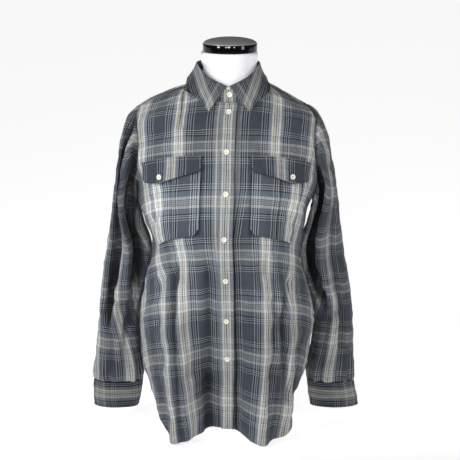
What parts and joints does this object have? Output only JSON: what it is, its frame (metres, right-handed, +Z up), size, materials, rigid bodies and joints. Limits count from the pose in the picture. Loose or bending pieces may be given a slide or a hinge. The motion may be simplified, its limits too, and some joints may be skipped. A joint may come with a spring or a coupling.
{
  "type": "flannel shirt on a dress form",
  "caption": "Buttoned long-sleeve plaid flannel shirt with collar, flap pockets and shirt-tail hem, worn on a smooth limbless dress form with a metal neck cap.",
  "frame": {"origin": "middle of the dress form's flat underside", "axes": "+Z up; the shirt's buttoned front faces -Y; +X is towards the wearer's left sleeve"},
  "size_m": [0.5528, 0.2617, 0.8115],
  "materials": {
    "flannel": "brushed cotton flannel, slate and grey plaid with cream lines",
    "button": "pearly cream",
    "form": "glossy white",
    "cap": "dark polished metal with a satin top"
  },
  "bodies": {
    "root": {"back": "flannel", "button_band": "flannel", "button_cuff_left": "button", "button_cuff_right": "button", "button_flap_left": "button", "button_flap_right": "button", "button_front_1": "button", "button_front_2": "button", "button_front_3": "button", "button_front_4": "button", "button_front_5": "button", "button_front_6": "button", "button_front_7": "button", "button_front_8": "button", "collar_fall": "flannel", "collar_stand": "flannel", "collar_tab": "flannel", "cuff_left": "flannel", "cuff_right": "flannel", "dress_form": "form", "flap_left": "flannel", "flap_right": "flannel", "front_left": "flannel", "front_right": "flannel", "neck_cap": "cap", "pocket_left": "flannel", "pocket_right": "flannel", "sleeve_left": "flannel", "sleeve_right": "flannel", "yoke": "flannel"}
  },
  "joints": []
}
